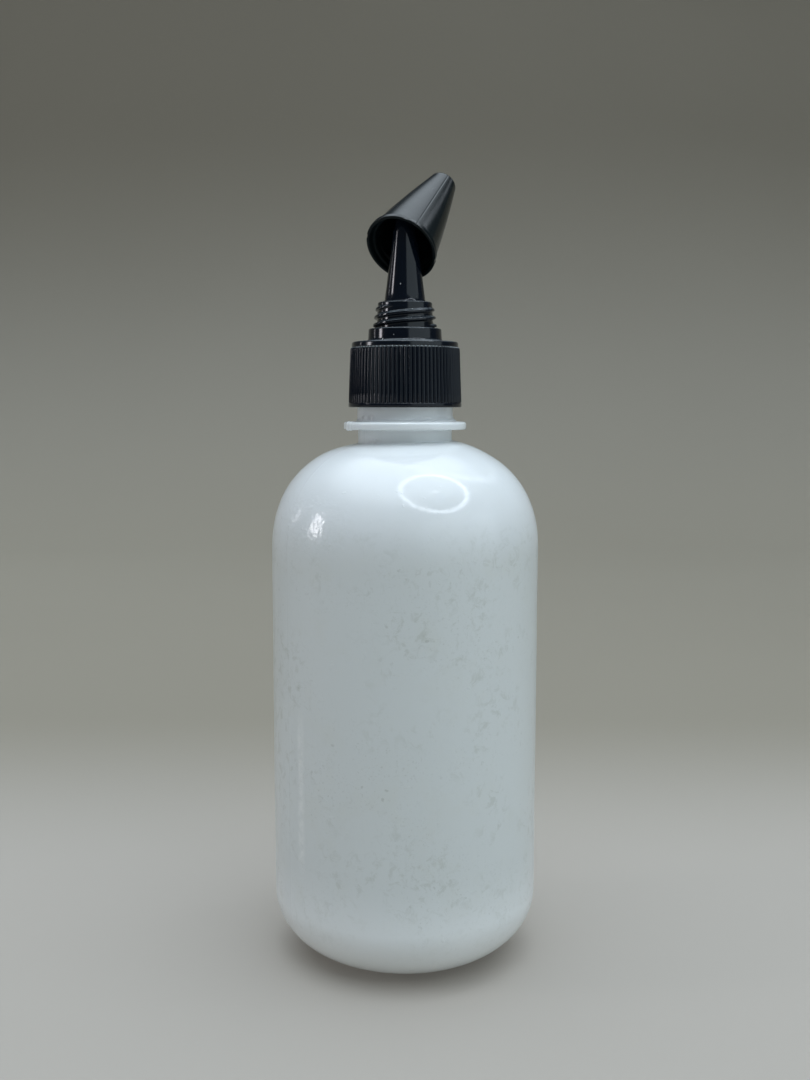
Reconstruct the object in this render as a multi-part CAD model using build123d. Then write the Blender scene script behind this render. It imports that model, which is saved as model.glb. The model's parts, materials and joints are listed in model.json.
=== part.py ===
from build123d import *
import math
import os

# Glue applicator bottle: a round bottle with a 28 mm screw neck, a ribbed screw closure with a
# long conical nozzle, a sealing wad inside the closure, and a hollow conical overcap resting
# askew on the nozzle's tip.
# Millimetres. +Z is up, the origin is the centre of the base's standing plane.
# Revolved outlines are lists of (radius, height).

# Shared
EDGE = 0.25                # small chamfer
CUT_OVER = 1.0             # how far cutters run past open ends
PITCH = 25.4 / 6           # neck and closure thread, 6 per inch
POST_LEAD = 4.26           # lead of the double-start post thread
STARTS = (0.0, 180.0)      # angles of its two starts, degrees

# Bottle body
BODY_R = 36.75
FOOT_R_OUT = 15.0          # outer edge of the flat standing ring
FOOT_R_IN = 12.8           # inner edge of the flat standing ring
PUSH_UP = 2.4              # height of the base's concave centre
BASE_CORNER_Z = 17.5       # top of the rounded base corner
SHOULDER_Z = 114.3         # where the body cylinder ends
SHOULDER_H = 29.99         # vertical half axis of the shoulder's superellipse
SHOULDER_RC = 4.93         # radius at which the superellipse is centred
SHOULDER_N = 2.254         # superellipse exponent
WALL = 1.15
BASE_WALL = 1.6
CORNER_STEPS = 9           # spline spans in the base corner
SHOULDER_STEPS = 14        # spline spans in the shoulder

# Neck: a blend joins the shoulder to the neck outside, another to the bore inside
NECK_LOW_R = 12.94         # below the support ring
BLEND_R, BLEND_H = 0.5, 0.65
NECK_BORE_R = 10.4
BORE_BLEND_R, BORE_BLEND_H = 0.8, 1.4
RING_R = 16.86             # support ring
RING_Z0 = 147.1            # its underside
RING_Z1 = 149.2            # its top
RING_TOP_CHAMFER = 0.45
RING_TOP_Z = 150.5         # where the blend above the ring meets the neck
RING_BLEND = [(14.25, 0.05), (13.55, 0.40)]     # radius, height above RING_Z1
NECK_BEAD_R = 13.15        # plain neck above the ring
NECK_BEAD_Z = 155.8        # top of that plain neck
NECK_STEP_H = 0.55         # slope from the plain neck to the thread root
NECK_ROOT_R = 12.60        # thread root
NECK_CREST_R = 13.65       # thread crest
NECK_TOP_Z = 168.2         # sealing land
NECK_TOP_CHAMFER = 0.35
NECK_THREAD_Z = 159.25     # thread centre at its lower end
NECK_TURNS = 1.5

# Closure skirt
CAP_Z0 = 153.14            # lower edge
CAP_BEAD_Z = 154.25        # top of the smooth lower bead
CAP_RIB_Z = 169.3          # top of the ribs
CAP_TOP_Z = 170.8          # top face
CAP_BEAD_R = 15.57
RIB_COUNT = 82
RIB_R_LOW = 15.50          # rib crest at the bottom
RIB_R_HIGH = 14.98         # rib crest at the top
RIB_DEPTH = 0.34
RIB_OVERLAP_R = 0.05       # how far the core lies inside the rib roots
RIB_OVERLAP_Z = 0.3        # how far the ribs run down into the bead
CAP_RIM_R = 14.58          # smooth upper rim
CAP_RIM_CUT = 0.55         # size of the rim's two-facet edge
CAP_RIM_MID = 0.16         # inset of the point between the facets
CAP_WALL_R = 13.90         # inside of the skirt
CAP_MOUTH_GAP = 0.35       # widening at the skirt's mouth
CAP_MOUTH_H = 0.2          # height of that widening
CAP_MOUTH_TAPER_H = 0.7    # where its taper ends, above CAP_Z0
CAP_CREST_R = 12.85        # inside thread crest
CAP_PLATE_Z = 169.2        # underside of the top plate
CAP_TURNS = 1.25
MESH_OFFSET = 1.56         # closure thread below neck thread, with 0.05 flank clearance

# Closure collar, post and nozzle, from the top face up
COLLAR_R_LOW = 10.12
COLLAR_R_HIGH = 9.95
COLLAR_Z = 174.4           # collar top
COLLAR_CHAMFER = 0.3
COLLAR_FOOT = [(0.95, 0), (0.45, 0.2), (0.12, 0.55), (0, 0.95)]    # beyond low radius, above face
POST_R = 7.75              # at the collar
POST_R_TOP = 7.40
POST_TOP_Z = 181.5
POST_EDGE = [(7.40, -0.45), (7.05, -0.05), (6.6, 0.05), (6.05, 0.15), (5.72, 0.4)]
#                            radius, height from POST_TOP_Z: rounded edge and hollow to the nozzle
POST_CREST_R = 8.80        # thread crest on the post
POST_THREAD_GAP = 0.45     # thread start above the collar
NOZZLE_Z0 = 182.2          # foot of the nozzle cone
NOZZLE_R0 = 5.52
NOZZLE_Z1 = 205.2          # nozzle tip
NOZZLE_R1 = 2.58

# Passage through the closure, from the top plate to the tip
PASSAGE_MOUTH_R = 6.0
PASSAGE_R0 = 5.6           # above the mouth's chamfer
PASSAGE_CHAMFER_H = 0.6
PASSAGE_POST_R = 4.35      # at the post's top
PASSAGE_END_R = 1.45       # where it narrows to the outlet
PASSAGE_END_H = 0.6        # height of that narrowing
OUTLET_R = 1.0
OUTLET_L = 3.4

# Sealing wad
LINER_R_OUT = 13.60
LINER_R_IN = 8.0

# Overcap, in its own frame: rim at z = 0, tip at z = OC_L
OC_L = 32.7
OC_RIM_R = 10.10           # bead round the rim
OC_RIM_H = 1.35
OC_RIM_CHAMFER = 0.15
OC_RIM_SLOPE_R, OC_RIM_SLOPE_H = 0.02, 0.2      # slope from the bead to the cone
OC_R0 = 9.86               # cone radius at the rim
OC_R1 = 3.88               # cone radius at the tip
OC_BOW = 0.31              # how far the cone's side bows out of straight
OC_TIP_FILLET = 1.1
OC_CONE_STEPS = 8
OC_TIP_STEPS = 4
OC_IN_R0 = 9.25            # nominal inside radius at the rim
OC_IN_R1 = 3.15            # inside radius at the inner end
OC_IN_L = 31.4
OC_MOUTH_GAP = 0.18        # widening at the mouth
OC_MOUTH_STEP = 0.05       # narrowing above it
OC_MOUTH_H = 0.35
OC_IN_CHAMFER = 0.8
OC_CREST_R = 8.45          # inside thread crest
OC_ROOT_R = 9.02           # inside thread root at its lower end
OC_THREAD_Z = 1.15
# Pose: the rim's centre, and the direction from rim to tip
OC_CENTRE = (-1.20, -0.60, 195.82)
OC_AXIS = (0.3709, 0.6703, 0.6428)


def helical_rib(root_r, crest_r, z_start, lead, turns, root_half_w, crest_half_w,
                start_deg=0.0, fade_deg=35.0, taper=0.0):
    """Loft a helical ridge from root_r to crest_r, fading away at both ends.

    The ridge stands inward when crest_r is the smaller. The half widths are axial. Per mm of
    rise, taper lowers the crest of an outward ridge, or moves a whole inward ridge inward.
    """
    steps_per_turn = 20
    sink = 0.35            # how far the ridge is buried in its wall
    least = 0.06           # share of the height left at the ends
    width_least = 0.45     # share of the width that does not fade

    steps = round(turns * steps_per_turn)
    total = turns * 360.0
    sections = []
    for i in range(steps + 1):
        angle = total * i / steps
        ramp = min(1.0, angle / fade_deg, (total - angle) / fade_deg)
        fade = least + (1 - least) * (0.5 - 0.5 * math.cos(math.pi * ramp))
        z = z_start + lead * angle / 360.0
        drift = taper * (z - z_start)
        if crest_r < root_r:
            root = root_r - drift
            crest = root - (root_r - crest_r) * fade
            back = root + sink
        else:
            root = root_r
            crest = root + (crest_r - root_r - drift) * fade
            back = root - sink
        width = width_least + (1 - width_least) * fade
        root_w = root_half_w * width
        crest_w = crest_half_w * width
        slope = (root_w - crest_w) / abs(crest - root)
        back_w = root_w + slope * sink * 0.5
        turn = math.radians(start_deg + angle)
        corners = [(back, -back_w), (crest, -crest_w), (crest, crest_w), (back, back_w)]
        points = [Vector(r * math.cos(turn), r * math.sin(turn), z + w) for r, w in corners]
        sections.append(Face(Wire.make_polygon(points, close=True)).outer_wire())
    return Solid.make_loft(sections, ruled=False)


def revolved(points):
    """Revolve a closed polygon about Z."""
    return revolve(make_face(Plane.XZ * Polyline(*points, close=True)), axis=Axis.Z)


def revolved_curves(curves):
    """Revolve a closed chain of curves about Z."""
    edges = [edge for curve in curves for edge in curve.edges()]
    return revolve(make_face(Plane.XZ * Wire(edges)), axis=Axis.Z)


# ---------------------------------------------------------------- bottle
def body_outline(wall, base_z, end_r):
    """Curves from the axis at the base to the shoulder at end_r, and the point they end at.

    wall insets the sides and shoulder, base_z raises the base.
    """
    side_r = BODY_R - wall
    foot_in = (FOOT_R_IN, base_z)
    foot_out = (FOOT_R_OUT, base_z)
    base = Spline((0, PUSH_UP + base_z),
                  (FOOT_R_IN * 0.45, PUSH_UP * 0.80 + base_z),
                  (FOOT_R_IN * 0.8, PUSH_UP * 0.28 + base_z),
                  foot_in, tangents=((1, 0), (1, -0.06)))

    corner = []
    for i in range(CORNER_STEPS + 1):
        t = math.pi / 2 * i / CORNER_STEPS
        corner.append((FOOT_R_OUT + (side_r - FOOT_R_OUT) * math.sin(t),
                       base_z + (BASE_CORNER_Z - base_z) * (1 - math.cos(t))))

    # superellipse, from the side up to the parameter where its radius is end_r
    half_r = side_r - SHOULDER_RC
    power = 2.0 / SHOULDER_N
    t_end = math.acos(((end_r - SHOULDER_RC) / half_r) ** (1 / power))
    shoulder = []
    for i in range(SHOULDER_STEPS + 1):
        t = t_end * i / SHOULDER_STEPS
        shoulder.append((SHOULDER_RC + half_r * math.cos(t) ** power,
                         SHOULDER_Z + (SHOULDER_H - wall) * math.sin(t) ** power))
    (r_prev, z_prev), (r_end, z_end) = shoulder[-2:]

    curves = [base,
              Line(foot_in, foot_out),
              Spline(*corner, tangents=((1, 0), (0, 1))),
              Line(corner[-1], shoulder[0]),
              Spline(*shoulder, tangents=((0, 1), (r_end - r_prev, z_end - z_prev)))]
    return curves, shoulder[-1]


def make_bottle():
    outer, end = body_outline(0.0, 0.0, NECK_LOW_R + BLEND_R)
    blend_end = (NECK_LOW_R, end[1] + BLEND_H)
    outer.append(Spline(end, blend_end, tangents=((-1, 0.35), (0, 1))))
    outer.append(Polyline(
        blend_end,
        (NECK_LOW_R, RING_Z0 - EDGE), (NECK_LOW_R + EDGE, RING_Z0),
        (RING_R - EDGE, RING_Z0), (RING_R, RING_Z0 + EDGE),
        (RING_R, RING_Z1 - RING_TOP_CHAMFER), (RING_R - RING_TOP_CHAMFER, RING_Z1),
        *[(r, RING_Z1 + dz) for r, dz in RING_BLEND],
        (NECK_BEAD_R, RING_TOP_Z), (NECK_BEAD_R, NECK_BEAD_Z),
        (NECK_ROOT_R, NECK_BEAD_Z + NECK_STEP_H),
        (NECK_ROOT_R, NECK_TOP_Z - NECK_TOP_CHAMFER),
        (NECK_ROOT_R - NECK_TOP_CHAMFER, NECK_TOP_Z),
        (0, NECK_TOP_Z), (0, PUSH_UP)))

    inner, end = body_outline(WALL, BASE_WALL, NECK_BORE_R + BORE_BLEND_R)
    blend_end = (NECK_BORE_R, end[1] + BORE_BLEND_H)
    cut_z = NECK_TOP_Z + CUT_OVER
    inner.append(Spline(end, blend_end, tangents=((-1, 0.3), (0, 1))))
    inner.append(Polyline(blend_end, (NECK_BORE_R, cut_z), (0, cut_z), (0, PUSH_UP + BASE_WALL)))

    thread = helical_rib(NECK_ROOT_R, NECK_CREST_R, NECK_THREAD_Z, PITCH, NECK_TURNS,
                         root_half_w=1.20, crest_half_w=0.60)
    return (revolved_curves(outer) - revolved_curves(inner)) + thread


# ---------------------------------------------------------------- closure
def ribbed_outline(crest_r, z):
    """Closed outline of the ribbed skirt at height z, one trapezoid per rib."""
    step = 2 * math.pi / RIB_COUNT
    root_r = crest_r - RIB_DEPTH
    # angle as a share of the rib step, radius
    rib = ((-0.42, root_r), (-0.13, crest_r), (0.13, crest_r), (0.42, root_r))
    points = []
    for i in range(RIB_COUNT):
        for share, r in rib:
            angle = (i + share) * step
            points.append(Vector(r * math.cos(angle), r * math.sin(angle), z))
    return Wire.make_polygon(points, close=True)


def make_closure():
    core_inset = RIB_DEPTH + RIB_OVERLAP_R
    core = revolved([
        (0, CAP_Z0), (CAP_BEAD_R - EDGE, CAP_Z0), (CAP_BEAD_R, CAP_Z0 + EDGE),
        (CAP_BEAD_R, CAP_BEAD_Z - EDGE), (CAP_BEAD_R - EDGE, CAP_BEAD_Z),
        (RIB_R_LOW - core_inset, CAP_BEAD_Z), (RIB_R_HIGH - core_inset, CAP_RIB_Z),
        (CAP_RIM_R, CAP_RIB_Z), (CAP_RIM_R, CAP_TOP_Z - CAP_RIM_CUT),
        (CAP_RIM_R - CAP_RIM_MID, CAP_TOP_Z - CAP_RIM_MID),
        (CAP_RIM_R - CAP_RIM_CUT, CAP_TOP_Z),
        *[(COLLAR_R_LOW + dr, CAP_TOP_Z + dz) for dr, dz in COLLAR_FOOT],
        (COLLAR_R_HIGH, COLLAR_Z - COLLAR_CHAMFER), (COLLAR_R_HIGH - COLLAR_CHAMFER, COLLAR_Z),
        (POST_R, COLLAR_Z),
        *[(r, POST_TOP_Z + dz) for r, dz in POST_EDGE],
        (NOZZLE_R0, NOZZLE_Z0), (NOZZLE_R1, NOZZLE_Z1 - EDGE), (NOZZLE_R1 - EDGE, NOZZLE_Z1),
        (0, NOZZLE_Z1)])
    ribs = Solid.make_loft([ribbed_outline(RIB_R_LOW, CAP_BEAD_Z - RIB_OVERLAP_Z),
                            ribbed_outline(RIB_R_HIGH, CAP_RIB_Z)], ruled=True)
    mouth_r = CAP_WALL_R + CAP_MOUTH_GAP
    outlet_z = NOZZLE_Z1 - OUTLET_L
    hollow = revolved([
        (0, CAP_Z0 - CUT_OVER), (mouth_r, CAP_Z0 - CUT_OVER), (mouth_r, CAP_Z0 + CAP_MOUTH_H),
        (CAP_WALL_R, CAP_Z0 + CAP_MOUTH_TAPER_H), (CAP_WALL_R, CAP_PLATE_Z),
        (PASSAGE_MOUTH_R, CAP_PLATE_Z), (PASSAGE_R0, CAP_PLATE_Z + PASSAGE_CHAMFER_H),
        (PASSAGE_POST_R, POST_TOP_Z), (PASSAGE_END_R, outlet_z - PASSAGE_END_H),
        (OUTLET_R, outlet_z), (OUTLET_R, NOZZLE_Z1 + CUT_OVER), (0, NOZZLE_Z1 + CUT_OVER)])
    closure = (core + ribs) - hollow
    closure = closure + helical_rib(CAP_WALL_R, CAP_CREST_R, NECK_THREAD_Z - MESH_OFFSET, PITCH,
                                    CAP_TURNS, root_half_w=0.95, crest_half_w=0.45)
    for start in STARTS:
        closure = closure + helical_rib(
            POST_R_TOP, POST_CREST_R, COLLAR_Z + POST_THREAD_GAP, POST_LEAD, turns=1.30,
            root_half_w=0.70, crest_half_w=0.28, start_deg=start + 142.0, fade_deg=40.0,
            taper=0.155)
    return closure


# ---------------------------------------------------------------- sealing wad
def make_liner():
    """Flat ring filling the gap between the sealing land and the top plate."""
    return revolved([(LINER_R_IN, NECK_TOP_Z), (LINER_R_OUT, NECK_TOP_Z),
                     (LINER_R_OUT, CAP_PLATE_Z), (LINER_R_IN, CAP_PLATE_Z)])


# ---------------------------------------------------------------- overcap
def make_overcap():
    outline = [(0, 0), (OC_RIM_R - OC_RIM_CHAMFER, 0), (OC_RIM_R, OC_RIM_CHAMFER),
               (OC_RIM_R, OC_RIM_H - OC_RIM_SLOPE_H), (OC_R0 + OC_RIM_SLOPE_R, OC_RIM_H)]
    fillet_z = OC_L - OC_TIP_FILLET
    for i in range(1, OC_CONE_STEPS + 1):
        z = OC_RIM_H + (fillet_z - OC_RIM_H) * i / OC_CONE_STEPS
        bow = OC_BOW * math.sin(math.pi * z / OC_L)
        outline.append((OC_R0 + (OC_R1 - OC_R0) * z / OC_L + bow, z))
    cone_end_r = outline[-1][0]
    for i in range(1, OC_TIP_STEPS + 1):
        t = math.pi / 2 * i / OC_TIP_STEPS
        outline.append((cone_end_r - OC_TIP_FILLET * (1 - math.cos(t)),
                        fillet_z + OC_TIP_FILLET * math.sin(t)))
    outline.append((0, OC_L))

    mouth_r = OC_IN_R0 + OC_MOUTH_GAP
    cavity = revolved([
        (0, -CUT_OVER), (mouth_r, -CUT_OVER), (mouth_r, 0.0),
        (OC_IN_R0 - OC_MOUTH_STEP, OC_MOUTH_H), (OC_IN_R1, OC_IN_L - OC_IN_CHAMFER),
        (OC_IN_R1 - OC_IN_CHAMFER, OC_IN_L), (0, OC_IN_L)])
    overcap = revolved(outline) - cavity
    for start in STARTS:
        overcap = overcap + helical_rib(
            OC_ROOT_R, OC_CREST_R, OC_THREAD_Z, POST_LEAD, turns=0.70,
            root_half_w=0.50, crest_half_w=0.22, start_deg=start + 110.0, fade_deg=40.0,
            taper=0.205)
    pose = Plane(origin=OC_CENTRE, x_dir=(OC_AXIS[1], -OC_AXIS[0], 0.0), z_dir=OC_AXIS)
    return pose * overcap


os.makedirs("parts", exist_ok=True)
for name, make in (("bottle", make_bottle), ("closure_liner", make_liner),
                   ("nozzle_closure", make_closure), ("overcap", make_overcap)):
    export_step(make(), f"parts/{name}.step")
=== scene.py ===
# A white blown bottle with a ribbed black nozzle closure, its sealing wad and a conical overcap.
# The bottle stands on z = 0 with its axis on +Z; the camera looks along +Y, so +X is to the right.
# The overcap has an axis of its own, that of its lift-off joint.
# Shapes are worked out in millimetres, angles round an axis in radians; the scene is in metres.
import json
import math
from functools import cached_property

import bpy
import numpy as np
from mathutils import Matrix, Vector


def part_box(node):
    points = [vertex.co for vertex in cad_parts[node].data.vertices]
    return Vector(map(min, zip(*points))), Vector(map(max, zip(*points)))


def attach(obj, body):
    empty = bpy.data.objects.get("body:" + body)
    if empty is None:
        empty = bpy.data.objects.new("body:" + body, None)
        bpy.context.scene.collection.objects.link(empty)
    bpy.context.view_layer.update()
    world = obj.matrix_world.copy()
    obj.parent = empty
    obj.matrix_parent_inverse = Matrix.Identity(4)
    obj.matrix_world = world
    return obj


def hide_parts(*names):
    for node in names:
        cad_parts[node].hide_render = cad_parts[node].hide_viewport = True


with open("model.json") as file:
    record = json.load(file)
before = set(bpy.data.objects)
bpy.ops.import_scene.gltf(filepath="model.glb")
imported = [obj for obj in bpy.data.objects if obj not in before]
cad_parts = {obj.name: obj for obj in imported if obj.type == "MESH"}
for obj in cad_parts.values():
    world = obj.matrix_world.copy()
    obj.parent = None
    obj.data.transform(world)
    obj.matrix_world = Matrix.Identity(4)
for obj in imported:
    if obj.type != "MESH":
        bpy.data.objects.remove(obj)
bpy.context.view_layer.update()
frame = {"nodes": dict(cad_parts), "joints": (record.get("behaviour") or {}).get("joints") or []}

MM = 0.001
TAU = 2.0 * math.pi

# ---------------------------------------------------------------- sizes of the CAD pieces
_, bottle_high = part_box("bottle")
closure_low, closure_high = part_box("nozzle_closure")
wad_low, wad_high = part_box("closure_liner")
BODY_R = bottle_high.x / MM
NECK_TOP = bottle_high.z / MM
CAP_Z0 = closure_low.z / MM
CAP_R = closure_high.x / MM
NOZZLE_TOP = closure_high.z / MM
WAD_Z0, WAD_Z1, WAD_R = wad_low.z / MM, wad_high.z / MM, wad_high.x / MM


def measure_overcap():
    """The overcap's axis, rim centre and pose (metres), then its length and rim radius (mm)."""
    joint = next(j for j in frame["joints"] if j["name"] == "overcap_lift_off")
    axis = Vector(joint["axis"]).normalized()
    side = Vector((axis.y, -axis.x, 0.0)).normalized()
    other_side = axis.cross(side).normalized()
    points = [v.co.copy() for v in frame["nodes"]["overcap"].data.vertices]
    along = [p.dot(axis) for p in points]
    low, high = min(along), max(along)
    rim = [p for p, s in zip(points, along) if s < low + 0.0001]

    centre = axis * low
    for direction in (side, other_side):
        across = [p.dot(direction) for p in rim]
        centre = centre + direction * ((min(across) + max(across)) / 2)
    radius = max(((p - centre) - axis * (p - centre).dot(axis)).length for p in points)

    pose = Matrix((side, other_side, axis)).transposed().to_4x4()
    pose.translation = centre
    return axis, centre, pose, (high - low) / MM, radius / MM


OVERCAP_AXIS, OVERCAP_CENTRE, OVERCAP_POSE, OVERCAP_LENGTH, OVERCAP_RIM_R = measure_overcap()


# ---------------------------------------------------------------- curves and angles
def smooth01(x):
    x = np.clip(x, 0.0, 1.0)
    return x * x * (3.0 - 2.0 * x)


def rise(value, start, span):
    """Smooth step from 0 at start to 1 at start + span."""
    return smooth01((value - start) / span)


def fall(value, start, span):
    return 1.0 - rise(value, start, span)


def wrap(angle):
    """The angle brought into -pi..pi."""
    return np.mod(angle + math.pi, TAU) - math.pi


def from_opposite(angle):
    """Signed angle from the direction opposite zero."""
    return np.mod(angle, TAU) - math.pi


def from_line(angle):
    """Angle to the nearer end of the diameter through zero."""
    return np.minimum(np.abs(wrap(angle)), np.abs(from_opposite(angle)))


def even(n, extra=()):
    """n even angles plus extra ones, sorted and without near repeats."""
    angles = sorted([TAU * i / n for i in range(n)] + [e % TAU for e in extra])
    keep = [angles[0]]
    for angle in angles[1:]:
        if angle - keep[-1] > 0.0006:
            keep.append(angle)
    return keep


def mirrored(offsets):
    return [-s for s in offsets] + [0.0] + list(offsets)


# ---------------------------------------------------------------- sections and lathed meshes
def rounded(points, closed=False):
    """points are (r, z, fillet); every corner with a fillet becomes a short arc of (r, z) rows."""
    segments = 5
    weight = 0.80                        # rational weight: close to a circular arc
    out = []
    n = len(points)
    for i, (r, z, fillet) in enumerate(points):
        if fillet <= 0 or (not closed and i in (0, n - 1)):
            out.append((r, z))
            continue
        corner = np.array((r, z))
        back = np.array(points[i - 1][:2]) - corner
        ahead = np.array(points[(i + 1) % n][:2]) - corner
        back_len, ahead_len = np.linalg.norm(back), np.linalg.norm(ahead)
        back, ahead = back / back_len, ahead / ahead_len
        angle = math.acos(float(np.clip(back @ ahead, -1, 1)))
        reach = min(fillet / math.tan(angle / 2), back_len * 0.49, ahead_len * 0.49)
        start, end = corner + back * reach, corner + ahead * reach
        for k in range(segments + 1):
            t = k / segments
            pull = 2 * weight * t * (1 - t)
            total = (1 - t) ** 2 + pull + t ** 2
            q = ((1 - t) ** 2 * start + pull * corner + t ** 2 * end) / total
            out.append((float(q[0]), float(q[1])))
    return out


def split_runs(rows, step, chosen):
    """Adds rows on the runs chosen(a, b) accepts, so that a thread can be raised from them."""
    out = []
    for a, b in zip(rows[:-1], rows[1:]):
        out.append(a)
        if chosen(a, b):
            n = math.ceil(abs(b[1] - a[1]) / step)
            out += [tuple(p + (q - p) * k / n for p, q in zip(a, b)) for k in range(1, n)]
    out.append(rows[-1])
    return out


def helix_height(theta, z, z_start, lead, turns, starts, half_root, half_crest,
                 fade=35.0, offset=0.0):
    """Height 0..1 of a right-hand thread; fade (its run-out) and offset are in degrees."""
    best = np.zeros_like(z)
    total = turns * 360.0
    for k in range(starts):
        base = np.mod(np.degrees(theta) - offset - k * 360.0 / starts, 360.0)
        for turn in range(int(turns) + 1):
            a = base + 360.0 * turn
            centre = z_start + lead * a / 360.0
            full = smooth01(np.minimum(1.0, np.minimum(a / fade, (total - a) / fade)))
            root = half_root * (0.45 + 0.55 * full)
            crest = half_crest * (0.45 + 0.55 * full)
            height = full * fall(np.abs(z - centre), crest, root - crest)
            best = np.where((a >= 0.0) & (a <= total), np.maximum(best, height), best)
    return best


def add_object(name, verts, faces, smooth=False):
    mesh = bpy.data.meshes.new(name)
    mesh.from_pydata(verts, [], faces)
    mesh.update()
    if smooth:
        mesh.polygons.foreach_set("use_smooth", [True] * len(mesh.polygons))
    obj = bpy.data.objects.new(name, mesh)
    bpy.context.scene.collection.objects.link(obj)
    return obj


def lathe(name, rows, theta, shape, closed=False, matrix=None):
    """A surface of revolution as one quad mesh. rows are (r, z[, tag]) in mm, in order round the
    section; shape(theta, r, z, tag) moves the points. Rows with r = 0 become a single pole."""
    theta = np.asarray(theta, float)[None, :]
    rows = np.array([r if len(r) > 2 else (r[0], r[1], 0.0) for r in rows])
    pole = rows[:, 0] == 0.0
    R, Z, tag = (rows[:, k, None] + 0.0 * theta for k in range(3))
    angle = theta + 0.0 * R
    R, Z = shape(angle, R, Z, tag)
    X, Y = R * np.cos(angle), R * np.sin(angle)

    n, m = R.shape
    verts, index = [], np.zeros((n, m), int)
    for i in range(n):
        if pole[i]:
            index[i, :] = len(verts)
            verts.append((0.0, 0.0, float(Z[i].mean())))
        else:
            index[i, :] = len(verts) + np.arange(m)
            verts.extend(zip(X[i].tolist(), Y[i].tolist(), Z[i].tolist()))

    faces = []
    for i in range(n if closed else n - 1):
        a, b = index[i], index[(i + 1) % n]
        a_next, b_next = np.roll(a, -1), np.roll(b, -1)
        if pole[i]:
            corners = (a, b_next, b)
        elif pole[(i + 1) % n]:
            corners = (a, a_next, b)
        else:
            corners = (a, a_next, b_next, b)
        faces.extend(zip(*(c.tolist() for c in corners)))

    co = np.array(verts) * MM
    if matrix is not None:
        M = np.array(matrix)
        co = co @ M[:3, :3].T + M[:3, 3]
    obj = add_object(name, co.tolist(), faces, smooth=True)
    modifier = obj.modifiers.new("weighted_normals", "WEIGHTED_NORMAL")
    modifier.weight = 60
    modifier.keep_sharp = True
    return obj


# ================================================================ bottle
SHOULDER_Z, SHOULDER_H = 114.3, 29.99
SHOULDER_RC = 4.93                   # radius at which the shoulder's superellipse is centred
SHOULDER_POWER = 2.254
BODY_STEP = 3.0                      # height between rows on the straight body
FOOT_IN, FOOT_OUT = 12.8, 15.0       # flat standing ring
PUSH_UP = 2.4                        # height of the base's hollow centre
CORNER_H = 17.5
WALL, BASE_WALL = 1.15, 1.6
NECK_LOW_R, BORE_R = 12.94, 10.4
NECK_RISE, BORE_RISE = 0.65, 1.4     # heights of the blends from the shoulder, outside and inside
RING_R, RING_Z0, RING_Z1, RING_TOP = 16.86, 147.1, 149.2, 150.5
BEAD_R, BEAD_Z = 13.15, 155.8
ROOT_R, CREST_R = 12.60, 13.65       # neck thread
PITCH, NECK_THREAD_Z, NECK_TURNS = 25.4 / 6, 159.25, 1.5
PART_LINE = math.radians(213.0)      # one end of the mould's parting plane, front left
LUMP = math.radians(203.0)           # flash left on the ring beside the parting line
LUMP_ARC_R = 16.9                    # radius that turns angles from the lump into arc lengths
OUTSIDE = 1.0                        # tag of the skin up to the sealing land

# amplitude, waves round, radians per mm of height, phase
WALL_WAVES = (
    (0.085, 2, 0.011, 0.7), (0.045, 3, -0.023, -1.1), (0.028, 5, 0.035, 2.0),
    (0.020, 4, 0.12, 0.0), (0.016, -7, 0.21, 1.3))
# shallow dips low on the right and left of the front:
# depth, angle in degrees, angular spread, height, spread in height
WALL_DIPS = ((0.16, -22.0, 0.20, 46.0, 17.0), (0.10, 215.0, 0.16, 58.0, 26.0))


def base_rows(inset, z0, n_corner):
    """From the centre of the base out to the body."""
    wall_r = BODY_R - inset
    rows = [(0.0, PUSH_UP + z0)]
    for i in range(1, 15):
        u = i / 15
        hollow = PUSH_UP * (0.5 + 0.5 * math.cos(math.pi * u ** 1.25))
        rows.append((FOOT_IN * u, z0 + hollow + 0.02 * (1 - u)))
    rows += [(r, z0) for r in (FOOT_IN, FOOT_IN + 0.6, FOOT_OUT - 0.5, FOOT_OUT)]
    for i in range(1, n_corner + 1):
        t = math.pi / 2 * i / n_corner
        rows.append((FOOT_OUT + (wall_r - FOOT_OUT) * math.sin(t),
                     z0 + (CORNER_H - z0) * (1 - math.cos(t))))
    return rows


def shoulder_rows(inset, end_r, n):
    """A superellipse from the body in to the radius end_r."""
    power = 2.0 / SHOULDER_POWER

    def point(t):
        return (SHOULDER_RC + (BODY_R - SHOULDER_RC - inset) * math.cos(t) ** power,
                SHOULDER_Z + (SHOULDER_H - inset) * math.sin(t) ** power)

    low, high = 0.0, math.pi / 2
    for _ in range(60):
        mid = (low + high) / 2
        if point(mid)[0] > end_r:
            low = mid
        else:
            high = mid
    return [point(low * (i / n) ** 1.25) for i in range(1, n + 1)]


def blend_rows(start, end_r, height, fractions):
    """A quarter ellipse from the shoulder's end up into the neck."""
    r, z = start
    return [(r - (r - end_r) * math.sin(t * math.pi / 2),
             z + height * (1 - math.cos(t * math.pi / 2))) for t in fractions]


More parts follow.
